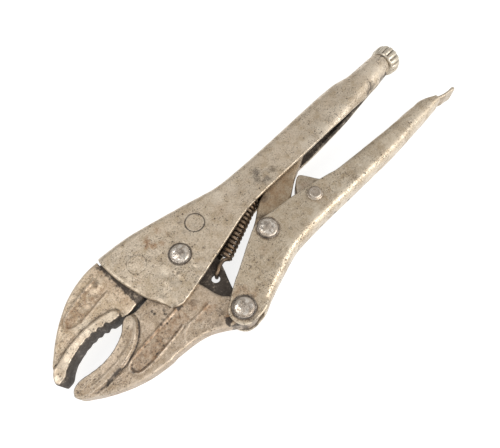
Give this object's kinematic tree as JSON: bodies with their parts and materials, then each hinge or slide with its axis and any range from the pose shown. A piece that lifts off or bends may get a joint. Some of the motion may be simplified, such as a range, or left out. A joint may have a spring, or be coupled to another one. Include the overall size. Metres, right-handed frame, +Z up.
{
  "type": "locking pliers",
  "caption": "Curved-jaw locking pliers with pressed channel handles, toggle link, release lever, tension spring and fluted adjusting screw.",
  "frame": {"origin": "bottom centre of the bounding box, the tool lying on its side", "axes": "+X from the jaw tips to the handle ends, +Y towards the back of the upper handle, +Z up, through the flat side of the tool"},
  "size_m": [0.2513, 0.0736, 0.0195],
  "materials": {
    "frame": "worn nickel plate, pitted",
    "jaw": "worn nickel plate over forged steel, pitted",
    "handle": "worn nickel plate",
    "link": "dull tarnished steel",
    "lever": "worn nickel plate",
    "rivet": "worn nickel plate, peened",
    "screw": "worn nickel plate, satin",
    "spring": "dark oxidised spring steel"
  },
  "bodies": {
    "frame": {"upper_handle_frame": "frame", "upper_jaw": "jaw", "front_jaw_rivet": "rivet", "rear_jaw_rivet": "rivet", "jaw_pivot_rivet": "rivet", "tension_spring": "spring"},
    "jaw": {"lower_jaw": "jaw"},
    "handle": {"lower_handle": "handle", "handle_pivot_rivet": "rivet", "link_pivot_rivet": "rivet", "release_lever_rivet": "rivet"},
    "link": {"toggle_link": "link"},
    "lever": {"release_lever": "lever"},
    "screw_slide": {"screw_nose": "screw"},
    "screw": {"adjusting_screw": "screw"}
  },
  "joints": [
    {"name": "jaw_open", "type": "hinge", "parent": "frame", "child": "jaw", "pos_m": [-0.04935, 0.01035, 0.00975], "axis": [0, 0, 1], "range_deg": [0, 14.4], "deforming": ["tension_spring"]},
    {"name": "handle_open", "type": "hinge", "parent": "jaw", "child": "handle", "pos_m": [-0.04635, -0.02905, 0.00975], "axis": [0, 0, -1], "range_deg": [0, 48]},
    {"name": "link_fold", "type": "hinge", "parent": "handle", "child": "link", "pos_m": [-0.01095, -0.00985, 0.00975], "axis": [0, 0, 1], "range_deg": [0, 58.56]},
    {"name": "lever_lift", "type": "hinge", "parent": "handle", "child": "lever", "pos_m": [0.01885, -0.01355, 0.00975], "axis": [0, 0, 1], "range_deg": [0, 6]},
    {"name": "screw_travel", "type": "slide", "parent": "frame", "child": "screw_slide", "axis": [1, 0, 0], "range_m": [0, 0.025]},
    {"name": "screw_turn", "type": "hinge", "parent": "screw_slide", "child": "screw", "pos_m": [0.11565, 0.01745, 0.00975], "axis": [1, 0, 0], "range_deg": [0, 7200]}
  ],
  "couplings": [
    {"joint": "jaw_open", "follows": "handle_open", "ratio": 0.3},
    {"joint": "link_fold", "follows": "handle_open", "ratio": 1.22},
    {"joint": "screw_turn", "follows": "screw_travel", "rad_per_m": 5026.5}
  ]
}
